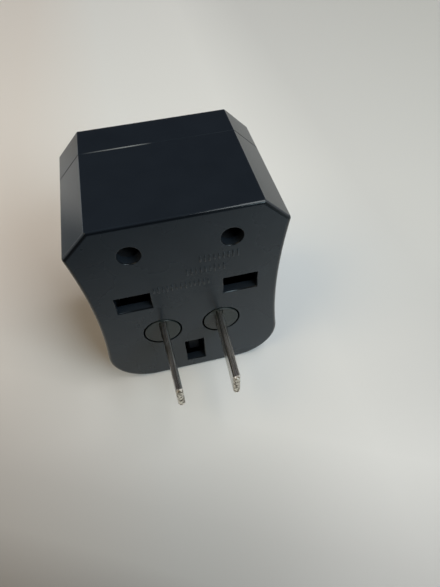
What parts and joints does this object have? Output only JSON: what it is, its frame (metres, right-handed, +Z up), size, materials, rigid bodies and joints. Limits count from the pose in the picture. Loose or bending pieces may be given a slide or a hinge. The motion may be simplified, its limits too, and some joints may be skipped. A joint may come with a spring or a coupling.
{
  "type": "universal travel adapter",
  "caption": "All-in-one travel adapter: sliding US, European and UK plug pins in one black housing, turning blades, and a universal socket at the back.",
  "frame": {"origin": "middle of the flat bottom end that the adapter stands on, half way along its depth", "axes": "+Z up through the chamfered top, -Y out of the plug face along the pins, +Y out of the socket face, +X to the right when looking at the plug face"},
  "size_m": [0.0419, 0.0485, 0.0503],
  "materials": {
    "shell_plastic": "moulded, glossy black with faint scuffs; the plug face a little duller",
    "disc_plastic": "moulded, semi-gloss black",
    "knob_plastic": "moulded, satin black, ribbed",
    "slider_plastic": "moulded, satin black",
    "sleeve_plastic": "moulded, satin black",
    "frame_plastic": "moulded, matt black",
    "plated_blade": "nickel-plated brass, drawn along the blade, rough sheared ends",
    "plated_pin": "nickel-plated brass, satin",
    "contact_brass": "stamped brass strip",
    "spring_steel": "rolled spring steel",
    "screw_steel": "zinc-plated steel",
    "lamp_glass": "clear glass bulb",
    "resistor_body": "lacquered",
    "lens_red": "translucent red, glossy"
  },
  "bodies": {
    "housing": {"front_shell": "shell_plastic", "rear_cover": "shell_plastic", "housing_screws": "screw_steel", "contact_frame": "frame_plastic", "live_socket_contact": "contact_brass", "neutral_socket_contact": "contact_brass", "live_bus_bar": "contact_brass", "neutral_bus_bar": "contact_brass", "indicator_lamp": "lamp_glass", "lamp_resistor": "resistor_body", "lamp_lens": "lens_red"},
    "us_slider": {"us_carriage": "slider_plastic", "us_knob_spring": "spring_steel"},
    "us_left_turner": {"us_left_disc": "disc_plastic", "us_left_blade": "plated_blade", "us_left_collar": "contact_brass"},
    "us_right_turner": {"us_right_disc": "disc_plastic", "us_right_blade": "plated_blade", "us_right_collar": "contact_brass"},
    "us_button": {"us_knob": "knob_plastic"},
    "eu_slider": {"eu_carriage": "slider_plastic", "eu_knob_spring": "spring_steel", "eu_left_pin": "plated_pin", "eu_right_pin": "plated_pin", "eu_left_sleeve": "sleeve_plastic", "eu_right_sleeve": "sleeve_plastic"},
    "eu_button": {"eu_knob": "knob_plastic"},
    "uk_slider": {"uk_carriage": "slider_plastic", "uk_knob_spring": "spring_steel", "uk_live_pin": "plated_pin", "uk_neutral_pin": "plated_pin", "uk_live_sleeve": "sleeve_plastic", "uk_neutral_sleeve": "sleeve_plastic", "uk_earth_pin": "sleeve_plastic"},
    "uk_button": {"uk_knob": "knob_plastic"}
  },
  "joints": [
    {"name": "us_slide", "type": "slide", "parent": "housing", "child": "us_slider", "axis": [0, 1, 0], "range_m": [0, 0.0185]},
    {"name": "us_left_turn", "type": "hinge", "parent": "us_slider", "child": "us_left_turner", "pos_m": [-0.00665, -0.012, 0.0181], "axis": [0, 1, 0], "range_deg": [0, 30]},
    {"name": "us_right_turn", "type": "hinge", "parent": "us_slider", "child": "us_right_turner", "pos_m": [0.00665, -0.012, 0.0181], "axis": [0, 1, 0], "range_deg": [-30, 0]},
    {"name": "us_press", "type": "slide", "parent": "us_slider", "child": "us_button", "axis": [1, 0, 0], "range_m": [0, 0.0007], "stiffness_N_per_m": 250, "springref_m": -0.003, "deforming": ["us_knob_spring"]},
    {"name": "eu_slide", "type": "slide", "parent": "housing", "child": "eu_slider", "axis": [0, -1, 0], "range_m": [0, 0.0225]},
    {"name": "eu_press", "type": "slide", "parent": "eu_slider", "child": "eu_button", "axis": [1, 0, 0], "range_m": [0, 0.0007], "stiffness_N_per_m": 250, "springref_m": -0.003, "deforming": ["eu_knob_spring"]},
    {"name": "uk_slide", "type": "slide", "parent": "housing", "child": "uk_slider", "axis": [0, -1, 0], "range_m": [0, 0.023]},
    {"name": "uk_press", "type": "slide", "parent": "uk_slider", "child": "uk_button", "axis": [-1, 0, 0], "range_m": [0, 0.0007], "stiffness_N_per_m": 250, "springref_m": -0.003, "deforming": ["uk_knob_spring"]}
  ]
}
